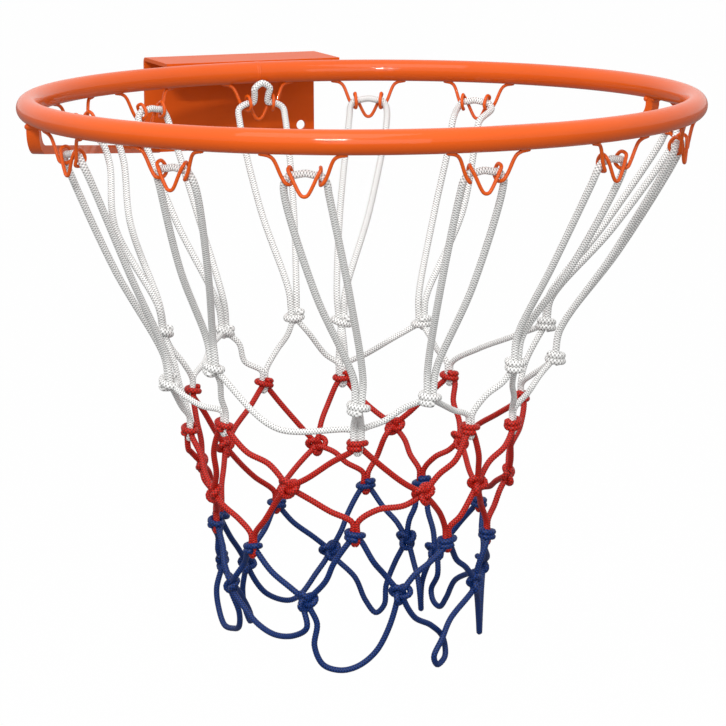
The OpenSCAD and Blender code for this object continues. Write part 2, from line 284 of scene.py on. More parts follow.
@dataclass(frozen=True)
class PowderCoat:
    """Gloss polyester powder coat baked on steel.

    It gives an even, saturated colour under a clear skin, with a faint orange peel that
    ripples the edges of reflections.
    """

    name: str = "gloss_powder_coat"
    colour: str = "#DA580C"
    shade: str = "#D05008"
    gloss: float = 0.5
    base_roughness: float = 0.5
    base_specular: float = 0.1
    skin_roughness: float = 0.04
    peel_mm: float = 3.0
    peel_height_mm: float = 0.2
    peel_strength: float = 0.06
    cloud_mm: float = 60.0

    def material(self) -> bpy.types.Material:
        """Returns the finish as a material on object coordinates."""
        material, tree, output = new_material(self.name)
        place = add_node(tree, "ShaderNodeTexCoord", {}, {}).outputs["Object"]
        peel = add_node(
            tree,
            "ShaderNodeTexNoise",
            {},
            {"Vector": place, "Scale": 1 / (self.peel_mm * MM), "Detail": 1.0},
        )
        cloud = add_node(
            tree,
            "ShaderNodeTexNoise",
            {},
            {"Vector": place, "Scale": 1 / (self.cloud_mm * MM), "Detail": 2.0},
        )
        tint = add_node(
            tree,
            "ShaderNodeMix",
            {"data_type": "RGBA"},
            {0: cloud.outputs[0], 6: linear(self.colour), 7: linear(self.shade)},
        )
        bump = add_node(
            tree,
            "ShaderNodeBump",
            {},
            {
                "Strength": self.peel_strength,
                "Distance": self.peel_height_mm * MM,
                "Height": peel.outputs[0],
            },
        )
        skin = add_node(
            tree,
            "ShaderNodeBsdfPrincipled",
            {},
            {
                "Base Color": tint.outputs[2],
                "Roughness": self.base_roughness,
                "Specular IOR Level": self.base_specular,
                "Coat Weight": self.gloss,
                "Coat Roughness": self.skin_roughness,
                "Normal": bump.outputs[0],
                "Coat Normal": bump.outputs[0],
            },
        )
        tree.links.new(skin.outputs[0], output.inputs[0])
        return material


@dataclass(frozen=True)
class BraidedCord:
    """Braided polyester cord.

    Strands cross in small diamonds. Their colour is the cord's own on the crowns and a painted
    shade, darkest in the small gaps where two of them dive; fine filaments soften the highlight.
    """

    name: str
    crown: str
    # The colour painted as shade in the gaps between strands.
    painted_gap_shade: str
    diameter: float
    pick_mm: float = 1.9
    strands: int = 4
    relief_mm: float = 0.14
    filament_mm: float = 0.5
    fluff: float = 0.25
    softness: float = 0.35
    bump: float = 0.55
    roughness: float = 0.42
    specular: float = 0.25

    def height(self, along: np.ndarray, turn: np.ndarray) -> np.ndarray:
        """The braid's relief, from 0 where two strands dive to 1 on a crown.

        It is |sin(pi (a + n v))| * |sin(pi (a - n v))|, where a is the length in picks, v the
        turn round the cord and n the number of strands each way.

        Args:
            along: The length in picks.
            turn: The turn round the cord, from 0 to 1.

        Returns:
            The relief at each place.
        """
        one = np.abs(np.sin(math.pi * (along + self.strands * turn)))
        return one * np.abs(np.sin(math.pi * (along - self.strands * turn)))

    def material(self) -> bpy.types.Material:
        """Returns the finish as a material on the map "along", which follows each cord."""
        material, tree, output = new_material(self.name)
        place = add_node(tree, "ShaderNodeUVMap", {"uv_map": "along"}, {}).outputs[0]
        parts = add_node(tree, "ShaderNodeSeparateXYZ", {}, {0: place})
        waves = []
        for way in (1, -1):
            phase = add_node(
                tree,
                "ShaderNodeMath",
                {"operation": "MULTIPLY_ADD"},
                {0: parts.outputs[1], 1: float(way * self.strands), 2: parts.outputs[0]},
            )
            turned = add_node(
                tree, "ShaderNodeMath", {"operation": "MULTIPLY"}, {0: phase.outputs[0], 1: math.pi}
            )
            wave = add_node(tree, "ShaderNodeMath", {"operation": "SINE"}, {0: turned.outputs[0]})
            crest = add_node(tree, "ShaderNodeMath", {"operation": "ABSOLUTE"}, {0: wave.outputs[0]})
            waves.append(crest.outputs[0])
        relief = add_node(tree, "ShaderNodeMath", {"operation": "MULTIPLY"}, {0: waves[0], 1: waves[1]})
        soft = add_node(
            tree, "ShaderNodeMath", {"operation": "POWER"}, {0: relief.outputs[0], 1: self.softness}
        )
        # The colour mixes toward the painted gap shade by the mean of the two waves' squares, which is 0
        # only in the gaps, so the painted shade is darkest there.
        square = add_node(tree, "ShaderNodeMath", {"operation": "POWER"}, {0: waves[1], 1: 2.0})
        both = add_node(
            tree,
            "ShaderNodeMath",
            {"operation": "MULTIPLY_ADD"},
            {0: waves[0], 1: waves[0], 2: square.outputs[0]},
        )
        mean = add_node(tree, "ShaderNodeMath", {"operation": "MULTIPLY"}, {0: both.outputs[0], 1: 0.5})
        gap_shade_mask = add_node(
            tree, "ShaderNodeMath", {"operation": "POWER"}, {0: mean.outputs[0], 1: self.softness}
        )
        tint = add_node(
            tree,
            "ShaderNodeMix",
            {"data_type": "RGBA"},
            {0: gap_shade_mask.outputs[0], 6: linear(self.painted_gap_shade), 7: linear(self.crown)},
        )
        filaments = add_node(
            tree,
            "ShaderNodeTexNoise",
            {},
            {
                "Vector": add_node(tree, "ShaderNodeTexCoord", {}, {}).outputs["Object"],
                "Scale": 1 / (self.filament_mm * MM),
                "Detail": 2.0,
            },
        )
        height = add_node(
            tree,
            "ShaderNodeMath",
            {"operation": "MULTIPLY_ADD"},
            {0: filaments.outputs[0], 1: self.fluff, 2: soft.outputs[0]},
        )
        bump = add_node(
            tree,
            "ShaderNodeBump",
            {},
            {"Strength": self.bump, "Distance": self.relief_mm * MM, "Height": height.outputs[0]},
        )
        skin = add_node(
            tree,
            "ShaderNodeBsdfPrincipled",
            {},
            {
                "Base Color": tint.outputs[2],
                "Roughness": self.roughness,
                "Specular IOR Level": self.specular,
                "Normal": bump.outputs[0],
            },
        )
        tree.links.new(skin.outputs[0], output.inputs[0])
        return material

    def lay(self, surface: Surface, points: np.ndarray, sides: int = 16) -> None:
        """Adds a cord along given points to a surface.

        The radius is half the diameter plus the braid's relief, so the crowns stand proud.

        Args:
            surface: The surface that takes the cord.
            points: The points that the cord passes through, in millimetres.
            sides: How many points each ring has.
        """
        path = smooth_path(np.asarray(points, float), self.pick_mm / STEPS_PER_PICK)
        picks = length_along(path) / self.pick_mm
        turn = np.arange(sides) / sides
        relief = self.height(picks[:, None], turn[None, :])
        radius = self.diameter / 2 + self.relief_mm * relief
        surface.add_grid(round_bar(path, radius, sides), picks)


# ---- the frame's sizes ----------------------------------------------------------

RING_LOW, RING_HIGH = (np.array(corner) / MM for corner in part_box("ring"))
RING_CENTRE = (RING_LOW + RING_HIGH) / 2
BAR_R = (RING_HIGH[2] - RING_LOW[2]) / 2
RING_R = (RING_HIGH[0] - RING_LOW[0]) / 2 - BAR_R
NET_LEAN = 0.03
NET_LEAN_START = 60.0
NET_TOP_DROP = 180
NET_ROW_PITCH = 39
KNOT_HALF = 6.0


@dataclass(frozen=True)
class Spot:
    """A point of the net or the ring, in millimetres.

    The angle goes round the ring from +Y towards +X, and the height is above the ring.
    """

    angle: float
    radius: float
    height: float

    def place(self) -> np.ndarray:
        """Returns the point; below the hooks the net drifts a little towards -X."""
        turn = math.radians(self.angle)
        drift = NET_LEAN * max(0.0, -self.height - NET_LEAN_START)
        reach = [self.radius * math.sin(turn) - drift, self.radius * math.cos(turn), self.height]
        return RING_CENTRE + np.array(reach)

    def axes(self) -> np.ndarray:
        """Returns the directions along the ring, outwards and up, one a row."""
        c, s = math.cos(math.radians(self.angle)), math.sin(math.radians(self.angle))
        return np.array([[c, -s, 0], [s, c, 0], [0, 0, 1]])

    def beside(self, local: np.ndarray) -> np.ndarray:
        """Returns points given from this spot as along the ring, outwards and up."""
        return self.place() + np.atleast_2d(np.asarray(local, float)) @ self.axes()


def row(radius: float, height: float, knots: list[tuple[float, float]]) -> list[Spot]:
    """Returns a row of net points from each one's angle and its lift above the row."""
    return [Spot(angle, radius, height + lift) for angle, lift in knots]


# ---- steel ----------------------------------------------------------------------


@dataclass
class Rim:
    """The ring, its bracket, braces, welds and net hooks."""

    finish: bpy.types.Material
    sheet_finish: bpy.types.Material
    back_pitch: float = 22.5
    front_pitch: float = 26.5
    wire: float = 2.5
    hook_drop: float = 35.5
    foot_z: float = 28.0
    eye_t: float = 10.0
    nudge: tuple[float, ...] = (0, -1, -2, 0, -1, 0, 0, 3, 0, 0, 0, -2)
    sheet_edge: float = 0.6
    brace_edge: float = 2.2
    edge_segments: int = 3
    edge_degrees: float = 40.0
    seam_half: float = 1.7
    seam_proud: float = 0.3
    groove_half: float = 0.35
    groove_depth: float = 0.34
    bead_share: float = 0.95
    ripple: float = 0.1
    ring_segments: int = 480
    ring_sides: int = 48
    seam_rings: int = 15
    wire_sides: int = 14

    def hook_angles(self) -> list[float]:
        """Returns each hook's angle: five on the bracket's side and seven on the far side."""
        near = [k * self.back_pitch for k in range(3)]
        far = [180 + k * self.front_pitch for k in range(-3, 4)]
        even = near + far + [360 - 2 * self.back_pitch, 360 - self.back_pitch]
        return [angle + nudge for angle, nudge in zip(even, self.nudge)]

    def dress(self, piece: bpy.types.Object, *nodes: str) -> None:
        """Rides a steel piece on the rim, in place of the nodes that it stands for."""
        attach(piece, Body.RIM.value)
        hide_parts(*nodes)
        LOG.info("%s: %d faces", piece.name, len(piece.data.polygons))

    def ring(self) -> None:
        """Builds the ring, a circle of the bar's radius carried round a circle."""
        turn = 2 * math.pi * np.arange(self.ring_segments) / self.ring_segments
        around = 2 * math.pi * np.arange(self.ring_sides) / self.ring_sides
        reach = RING_R + BAR_R * np.cos(around)[None, :]
        height = np.broadcast_to(BAR_R * np.sin(around)[None, :], (len(turn), len(around)))
        grid = np.stack([reach * np.cos(turn)[:, None], reach * np.sin(turn)[:, None], height], -1)
        surface = Surface()
        surface.add_grid((RING_CENTRE + grid)[::-1], turn / (2 * math.pi), looped=True)
        self.dress(surface.build("ring_bar", self.finish), "ring")

    def seam(self) -> None:
        """Builds the ground butt seam: a low band round the bar with a fine groove in it."""
        across = np.linspace(-self.seam_half, self.seam_half, self.seam_rings)
        band = self.seam_proud * np.cos(across / self.seam_half * math.pi / 2)
        groove = self.groove_depth * np.exp(-((across / self.groove_half) ** 2))
        level = np.zeros_like(across)
        line = RING_CENTRE + np.stack([across, level + RING_R, level], -1)
        surface = Surface()
        surface.add_grid(round_bar(line, BAR_R + (band - groove), self.ring_sides), across)
        self.dress(surface.build("ring_seam_band", self.finish), "ring_seam")

    def softened(self, node: str, name: str, finish: bpy.types.Material, edge_mm: float) -> None:
        """Copies a plate or bar of the frame and rounds its edges, as a coated edge is.

        Args:
            node: The frame's node.
            name: The new piece's name.
            finish: Its finish.
            edge_mm: The radius of its edges.
        """
        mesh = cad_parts[node].data.copy()
        mesh.materials.clear()
        mesh.materials.append(finish)
        work = bmesh.new()
        work.from_mesh(mesh)
        bmesh.ops.remove_doubles(work, verts=work.verts, dist=0.01 * MM)
        bmesh.ops.dissolve_limit(work, angle_limit=math.radians(0.5), verts=work.verts, edges=work.edges)
        work.to_mesh(mesh)
        work.free()
        piece = bpy.data.objects.new(name, mesh)
        bpy.context.scene.collection.objects.link(piece)
        bevel = piece.modifiers.new("edge", "BEVEL")
        bevel.width = edge_mm * MM
        bevel.segments = self.edge_segments
        bevel.limit_method = "ANGLE"
        bevel.angle_limit = math.radians(self.edge_degrees)
        mesh.polygons.foreach_set("use_smooth", np.ones(len(mesh.polygons), bool))
        piece.modifiers.new("flats", "WEIGHTED_NORMAL")
        self.dress(piece, node)

    def bead(self, surface: Surface, points: np.ndarray, radius: float, pitch: float = 1.6) -> None:
        """Adds a weld bead: a rippled bar that tapers to a round end.

        The radius is r * (1 + ripple |sin(pi s / pitch)|), times the square root of
        1 - (2 s / length - 1)^8, which rounds the ends.

        Args:
            surface: The surface that takes the bead.
            points: The points along its middle.
            radius: Its radius.
            pitch: The distance between two ripples.
        """
        path = smooth_path(np.asarray(points, float), 0.4)
        along = length_along(path)
        share = 2 * along / along[-1] - 1
        swell = 1 + self.ripple * np.abs(np.sin(math.pi * along / pitch))
        size = radius * swell * np.sqrt(np.maximum(1 - share**8, 0.004))
        surface.add_grid(round_bar(path, size, self.wire_sides), along)

    def welds(self) -> None:
        """Builds the weld at the bracket and those at the feet of the hooks."""
        low, high = (np.array(corner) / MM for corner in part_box("bracket_weld"))
        middle = (low + high) / 2
        line = [[x, middle[1], middle[2]] for x in (low[0], 0.0, high[0])]
        surface = Surface()
        self.bead(surface, line, (high[2] - low[2]) / 2 * self.bead_share, 2.2)
        self.dress(surface.build("bracket_weld_bead", self.finish), "bracket_weld")
        feet = Surface()
        for angle in self.hook_angles():
            foot = Spot(angle, RING_R, 0)
            for side in (-1, 1):
                line = [[side * t, -1, z - BAR_R] for t, z in ((22, -0.4), (25, 0), (29, 0.6))]
                self.bead(feet, foot.beside(line), self.wire * 0.6, 1.8)
        self.dress(feet.build("hook_weld_beads", self.finish), "hook_welds")

    def hook_points(self, angle: float) -> np.ndarray:
        """Returns the points of a hook's wire: two feet, two eyes and the V between them."""
        wire_top, foot, eye = -BAR_R - self.wire / 2, self.foot_z, self.eye_t
        half = [
            [28, -1, wire_top + 1.4],
            [22.5, -1, wire_top + 0.3],
            [19.5, -2, wire_top - 2],
            [14.5, -4, 5 - foot],
            [12, -4.5, 1 - foot],
            [eye + 0.5, -6, -foot],
            [eye - 0.5, -9.5, -foot],
            [eye - 1, -13, 3.5 - foot],
            [eye - 0.5, -12, 8 - foot],
            [eye, -8.5, 11 - foot],
            [eye + 0.5, -5, 9.5 - foot],
            [eye - 1.5, -4, 5.5 - foot],
            [3.4, -4, 2.6 - self.hook_drop],
            [1.8, -4, 0.6 - self.hook_drop],
        ]
        right = np.array(half, float)
        left = right * [-1, 1, 1]
        return Spot(angle, RING_R, 0).beside(np.vstack([left, [[0, -4, -self.hook_drop]], right[::-1]]))

    def hooks(self) -> None:
        """Builds the wire hooks, each one bent wire with a foot at both ends."""
        for number, angle in enumerate(self.hook_angles(), 1):
            path = smooth_path(self.hook_points(angle), 0.8)
            surface = Surface()
            bar = round_bar(path, np.full(len(path), self.wire / 2), self.wire_sides)
            surface.add_grid(bar, length_along(path))
            self.dress(surface.build(f"hook_wire_{number:02d}", self.finish), f"hook_{number:02d}")

    def build(self) -> None:
        """Builds every steel piece."""
        self.ring()
        self.seam()
        self.softened("bracket", "bracket_coated", self.sheet_finish, self.sheet_edge)
        for node in ("brace_left", "brace_right"):
            self.softened(node, f"{node}_coated", self.finish, self.brace_edge)
        self.welds()
        self.hooks()
        # The frame's own brace welds stay, in the ring's finish.
        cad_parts["brace_welds"].data.materials.clear()
        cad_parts["brace_welds"].data.materials.append(self.finish)


# ---- net ------------------------------------------------------------------------


@dataclass
class Net:
    """The knotted net: white loops and ties, red meshes, blue meshes and bottom loops."""

    white: BraidedCord
    red: BraidedCord
    blue: BraidedCord
    hooks: list[float]
    seed: int = 7
    eye_n: float = -8.5
    cord_z: float = -22.5
    leg_out: float = 14.5
    bow: float = 4.0
    sway: float = 1.5
    white_wide: float = 1.2
    coloured_wide: float = 1.4
    wrap_deep: float = 1.05
    wrap_turns: float = 1.4
    wrap_drop: float = 0.85
    wrap_start: tuple[float, float] = (-1.3, -0.7)
    wrap_tilt: float = 0.3
    tight_wide: float = 0.6
    tight_high: float = 0.56
    tight_lean: float = 0.4
    arch_loop: int = 0
    arch_bulge: float = 4.0
    arch: tuple[tuple[float, float, float], ...] = (
        (-5.5, -11, -16), (-6, -13, -11), (0, -13.5, -7), (6, -13, -11), (5.5, -11, -16)
    )
    steep: tuple[int, ...] = (2, 10)
    steep_turn: float = 3.0
    half_bight: tuple[tuple[float, float, float], ...] = (
        (-0.2, 0.6, -6.4), (0.6, 0.5, -6.1), (1.6, 0.3, -4), (1.7, 0, 1), (1.9, 0, 9)
    )
    sag_tie: int = 5
    sag_spot: Spot = Spot(225, 130, -208)
    shared: tuple[tuple[int, int], ...] = ((1, 0), (7, 5))
    white_knots: list[Spot] = field(
        default_factory=lambda: row(
            140,
            -NET_TOP_DROP - 0 * NET_ROW_PITCH,
            [(0, 5), (15, 0), (40, 0), (95, 15), (115, 0), (150, 10),
             (180, -5), (200, -10), (245, 10), (270, -10), (295, 15), (335, 0)],
        )
    )
    red_knots: list[Spot] = field(
        default_factory=lambda: row(
            120,
            -NET_TOP_DROP - 1 * NET_ROW_PITCH,
            [(15, 0), (55, 5), (100, 5), (135, 0), (160, 5),
             (200, 0), (250, 5), (280, -10), (300, 10), (345, 0)],
        )
    )
    red_low: list[Spot] = field(
        default_factory=lambda: row(
            110,
            -NET_TOP_DROP - 2 * NET_ROW_PITCH,
            [(35, 5), (65, 0), (120, -5), (150, 0), (175, 0),
             (225, 5), (265, -10), (290, 0), (320, 0), (365, -10)],
        )
    )
    blue_knots: list[Spot] = field(
        default_factory=lambda: row(
            100,
            -NET_TOP_DROP - 3 * NET_ROW_PITCH,
            [(50, 5), (85, 0), (130, -5), (160, 0), (200, 10),
             (245, -5), (280, 0), (305, -5), (345, -10), (385, 0)],
        )
    )
    blue_low: list[Spot] = field(
        default_factory=lambda: row(
            95,
            -NET_TOP_DROP - 4 * NET_ROW_PITCH,
            [(60, -5), (100, 0), (135, 0), (180, 5), (220, 0),
             (265, 0), (295, 5), (325, -10), (370, -10), (405, 0)],
        )
    )
    white_ties: list[tuple[int, int]] = field(
        default_factory=lambda: [
            (0, 2), (2, 3), (3, 4), (4, 5), (5, 6), (6, 8), (8, 9), (9, 10), (10, 11), (11, 0)
        ]
    )
    tail_points: list[list[tuple[float, float, float]]] = field(
        default_factory=lambda: [
            [(0, 0, 14), (-0.15, 0, 27), (-0.1, 0, 35), (0.05, 0, 38), (0.2, 0, 30), (0.4, 0, 15)],
            [(0.2, 0, 12), (0.4, 0, 30), (0.5, 0, 40), (0.6, 0, 30), (0.8, 0, 12)],
            [(0.35, 1, 19), (0.5, 3, 32), (0.6, 2, 44), (0.52, 0, 51), (0.4, -1, 46), (0.4, -3, 33),
             (0.6, -1, 22), (0.85, 0, 14)],
            [(0.1, 0, 20), (0.25, 0, 36), (0.45, 0, 45), (0.65, 0, 47), (0.85, 0, 42), (0.95, 0, 28),
             (0.92, 0, 12)],
            [(-0.05, 0, 14), (0.12, 0, 22), (0.4, 0, 25), (0.65, 0, 20), (0.85, 0, 10)],
            [(0, -6, 17), (0.15, -7, 30), (0.5, -5, 38), (0.8, 0, 40), (0.95, 3, 30), (1, 4, 16)],
            [(0.3, 0, 9), (0.7, -2, 20), (1.05, -3, 33), (1.2, 0, 38), (1.15, 3, 29), (1.05, 3, 14)],
            [(0.2, 0, 20), (0.5, 0, 29), (0.65, 0, 26), (0.85, 0, 12)],
            [(0.3, 0, 19), (0.45, 0, 38), (0.6, 0, 49), (0.72, 0, 44), (0.75, 0, 29), (0.88, 0, 12)],
            [(0.15, 0, 10), (0.45, -3, 21), (0.55, -3, 34), (0.5, 0, 45), (0.4, 3, 38), (0.45, 3, 26),
             (0.7, 1, 13)],
        ]
    )

    def __post_init__(self) -> None:
        """Makes the finishes and the seeded source of small irregularities."""
        self.finishes = {cord.name: cord.material() for cord in (self.white, self.red, self.blue)}
        self.chance = np.random.default_rng(self.seed)

    def dress(
        self, surface: Surface, name: str, cord: BraidedCord, slot: Slot, node: str
    ) -> bpy.types.Object:
        """Builds a piece of cord in place of a node of the frame, and returns it."""
        piece = surface.build(name, self.finishes[cord.name])
        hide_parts(node)
        LOG.info("%s: %d faces", name, len(piece.data.polygons))
        return piece

    def wandering(self, start: np.ndarray, end: np.ndarray) -> np.ndarray:
        """Returns two points between two ends, each a little off the straight line."""
        share = np.array([[1 / 3], [2 / 3]])
        return start + (end - start) * share + self.chance.normal(0, self.sway, (2, 3))

    def wrap(self, spot: Spot, cord: BraidedCord) -> np.ndarray:
        """Returns the points of a wrap round a knot's core, tucked in at both ends.

        They go round an ellipse, sinking in each turn, with a slight tilt.

        Args:
            spot: The knot.
            cord: Its cord; the wrap's sizes are multiples of its diameter.

        Returns:
            The points, one a row.
        """
        size, turns = cord.diameter, self.wrap_turns
        wide = size * (self.white_wide if cord is self.white else self.coloured_wide)
        deep, drop = size * self.wrap_deep, size * self.wrap_drop
        start = self.chance.uniform(*self.wrap_start)
        phase = start + np.linspace(0, 2 * math.pi * turns, max(8, round(9 * turns)))
        tilt = self.chance.uniform(-self.wrap_tilt, self.wrap_tilt)
        x, y = wide * np.cos(phase), deep * np.sin(phase)
        z = drop * turns / 2 - drop * (phase - start) / (2 * math.pi) + tilt * x
        middle = np.stack([x, y, z], -1)
        first = [0.25 * wide, -0.2, z[0] + 0.4]
        last = [0.1 * wide, 0.2, z[-1] - 0.8]
        return spot.beside(np.vstack([first, middle, last]))

    def overhand(self, spot: Spot, cord: BraidedCord) -> np.ndarray:
        """Returns the points of a tight overhand knot, which is a trefoil seen from outside.

        A point is (sin t + 2 sin 2t, cos t - 2 cos 2t) in the net's surface and -sin 3t out of it,
        scaled so that neighbouring strands touch, and turned by chance about the way out.

        Args:
            spot: The knot.
            cord: Its cord.

        Returns:
            The points, one a row; the first and last meet.
        """
        t = np.linspace(0, 2 * math.pi, 31) + self.chance.uniform(0, 2 * math.pi)
        across, up, out = np.sin(t) + 2 * np.sin(2 * t), np.cos(t) - 2 * np.cos(2 * t), -np.sin(3 * t)
        lean = self.chance.uniform(-self.tight_lean, self.tight_lean)
        x = across * math.cos(lean) - up * math.sin(lean)
        z = across * math.sin(lean) + up * math.cos(lean)
        wide, high = self.tight_wide * cord.diameter, self.tight_high * cord.diameter
        return spot.beside(np.stack([wide * x, wide * out, high * z], -1))

    def loop_leg(self, number: int, side: int) -> np.ndarray:
        """Returns the points of one leg of a top loop, from the hook's eye to its knot."""
        hook = Spot(self.hooks[number], RING_R, 0)
        low = self.white_knots[number]
        out = self.leg_out + (self.arch_bulge if number == self.arch_loop else 0)
        eye = hook.beside([side * out, self.eye_n, self.cord_z])[0]
        middle = (eye + low.place()) / 2 + side * self.bow * hook.axes()[0]
        near = hook.beside(
            [
                [side * 6, self.eye_n, self.cord_z + 0.5],
                [side * 10, self.eye_n, self.cord_z],
                [side * (out - 1), self.eye_n - 0.5, self.cord_z - 4],
            ]
        )
        turn = hook.angle + side * self.steep_turn
        if number in self.steep:
            below = [Spot(turn, radius, height).place() for radius, height in ((205, -35), (198, -50))]
        else:
            below = hook.beside([side * out, self.eye_n - 4.5, self.cord_z - 13])
        ends = low.beside([[side * 3, 3, 19.5], [side * 2.2, 0.6, 6], [side * 1.8, 0, 0]])
        return np.vstack([near, below, middle, ends])

    def eye_span(self, number: int) -> np.ndarray:
        """Returns the points of the cord between a hook's eyes; one loop stands up in an arch."""
        local = self.arch if number == self.arch_loop else [[0, self.eye_n, self.cord_z + 1.5]]
        return Spot(self.hooks[number], RING_R, 0).beside(local)

    def top_loops(self) -> None:
        """Builds the loops that hang in the hooks, between the rim and the collar."""
        for number, angle in enumerate(self.hooks):
            span = self.eye_span(number)
            route = np.vstack([self.loop_leg(number, -1)[::-1], span, self.loop_leg(number, 1)])
            surface = Surface()
            self.white.lay(surface, route)
            name = f"net_loop_{number + 1:02d}"
            piece = self.dress(surface, name, self.white, Slot.WHITE, f"top_loop_{number + 1:02d}")
            low = self.white_knots[number].place() * MM
            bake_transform(piece)

    def knots(
        self, spots: list[Spot], cord: BraidedCord, name: str, slot: Slot, body: Body, tight: bool
    ) -> None:
        """Builds a row of knots: one wrap round a bight, or a tight overhand knot.

        Args:
            spots: Where the knots are.
            cord: Their cord.
            name: The frame's node, which also names the piece.
            slot: Not used.
            body: The body that carries them.
            tight: Whether each is an overhand knot.
        """
        surface = Surface()
        for spot in spots:
            cord.lay(surface, self.overhand(spot, cord) if tight else self.wrap(spot, cord))
        piece = self.dress(surface, f"{name}_wound", cord, slot, name)
        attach(piece, body.value)

    def ties(
        self,
        tops: list[Spot],
        lows: list[Spot],
        pairs: list[tuple[int, int]],
        cord: BraidedCord,
        name: str,
        slot: Slot,
    ) -> None:
        """Builds the cords that hang from two knots and carry a lower one in their bight.

        A tie is two legs that meet under the lower knot.

        Args:
            tops: The upper knots.
            lows: The lower knots, one for each pair.
            pairs: The two upper knots of each tie.
            cord: The tie's cord.
            name: The frame's node.
            slot: Not used.
        """
        for number, ((left, right), low) in enumerate(zip(pairs, lows), 1):
            for side, top, hand in ((-1, tops[left], "left"), (1, tops[right], "right")):
                bend = low.beside(np.array(self.half_bight) * [side, 1, 1])
                sags = name == "white_ties" and number - 1 == self.sag_tie and side == 1
                away = self.sag_spot.place() if sags else self.wandering(bend[-1], top.place())
                surface = Surface()
                cord.lay(surface, np.vstack([bend, away, top.place()]))
                piece = self.dress(surface, f"{name[:-1]}_{number:02d}_{hand}", cord, slot, name)
                tuple(top.place() * MM)
                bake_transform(piece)

    def shared_cords(self) -> None:
        """Builds the pairs of cords from two white knots straight down to the red knots they share."""
        for number, (upper, lower) in enumerate(self.shared, 1):
            top, low = self.white_knots[upper], self.red_knots[lower]
            surface = Surface()
            for side in (-1, 1):
                foot = low.beside([[side * 2.5, 2, 12], [side * 2.5, 1, 2]])
                self.white.lay(surface, np.vstack([top.place(), foot]))
            piece = self.dress(surface, f"white_pair_{number}", self.white, Slot.WHITE, "white_ties")
            past = KNOT_HALF * unit(low.place() - top.place())
            ends = tuple((top.place() - past) * MM), tuple((low.place() + past) * MM)
            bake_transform(piece)

    def legs(
        self, tops: list[Spot], lows: list[Spot], cord: BraidedCord, name: str, slot: Slot, body: Body
    ) -> None:
        """Builds the two cords from each wrapped knot to the knots below on either side."""
        surface = Surface()
        count = len(tops)
        for number, top in enumerate(tops):
            for side, low in ((-1, lows[(number - 1) % count]), (1, lows[number])):
                leave = top.beside([[side * 1.2, side * 0.8, -1.2], [side * 4.2, side * 1.2, -4.5]])
                route = np.vstack([leave, self.wandering(leave[-1], low.place()), low.place()])
                cord.lay(surface, route)
        piece = self.dress(surface, f"{name}_laid", cord, slot, name)
        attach(piece, body.value)

    def tails(self) -> None:
        """Builds the loops that hang between neighbouring bottom knots."""
        count = len(self.blue_low)
        for number, points in enumerate(self.tail_points):
            a = self.blue_low[number].beside([2.5, 0, -4.5])[0]
            b = self.blue_low[(number + 1) % count].beside([-2.5, 0, -4.5])[0]
            out = unit(np.cross([0, 0, 1], b - a))
            share, outwards, down = np.array(points, float).T[:, :, None]
            hanging = a + (b - a) * share + out * outwards - np.array([0, 0, 1]) * down
            route = np.vstack([a + [0, 0, 3], a, hanging, b, b + [0, 0, 3]])
            surface = Surface()
            self.blue.lay(surface, route)
            name = f"tail_cord_{number + 1:02d}"
            piece = self.dress(surface, name, self.blue, Slot.BLUE, f"tail_loop_{number + 1:02d}")
            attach(piece, Body.TAIL.value)

    def build(self) -> None:
        """Builds every cord and knot."""
        count = len(self.blue_knots)
        pairs = [(k, (k + 1) % count) for k in range(count)]
        self.top_loops()
        self.knots(self.white_knots, self.white, "white_knots", Slot.WHITE, Body.COLLAR, False)
        thin = replace(self.white, diameter=self.red.diameter)
        self.ties(
            self.white_knots, self.red_knots, self.white_ties,
            thin, "white_ties", Slot.WHITE,
        )
        self.shared_cords()
        self.knots(self.red_knots, self.red, "red_knots", Slot.RED, Body.SKIRT, False)
        self.legs(self.red_knots, self.red_low, self.red, "red_legs", Slot.RED, Body.SKIRT)
        self.knots(self.red_low, self.red, "red_low_knots", Slot.RED, Body.SKIRT, True)
        self.ties(
            self.red_low, self.blue_knots, pairs,
            self.red, "red_ties", Slot.RED,
        )
        self.knots(self.blue_knots, self.blue, "blue_knots", Slot.BLUE, Body.TAIL, False)
        self.legs(self.blue_knots, self.blue_low, self.blue, "blue_legs", Slot.BLUE, Body.TAIL)
        self.knots(self.blue_low, self.blue, "blue_low_knots", Slot.BLUE, Body.TAIL, True)
        self.tails()


# ---- studio ---------------------------------------------------------------------


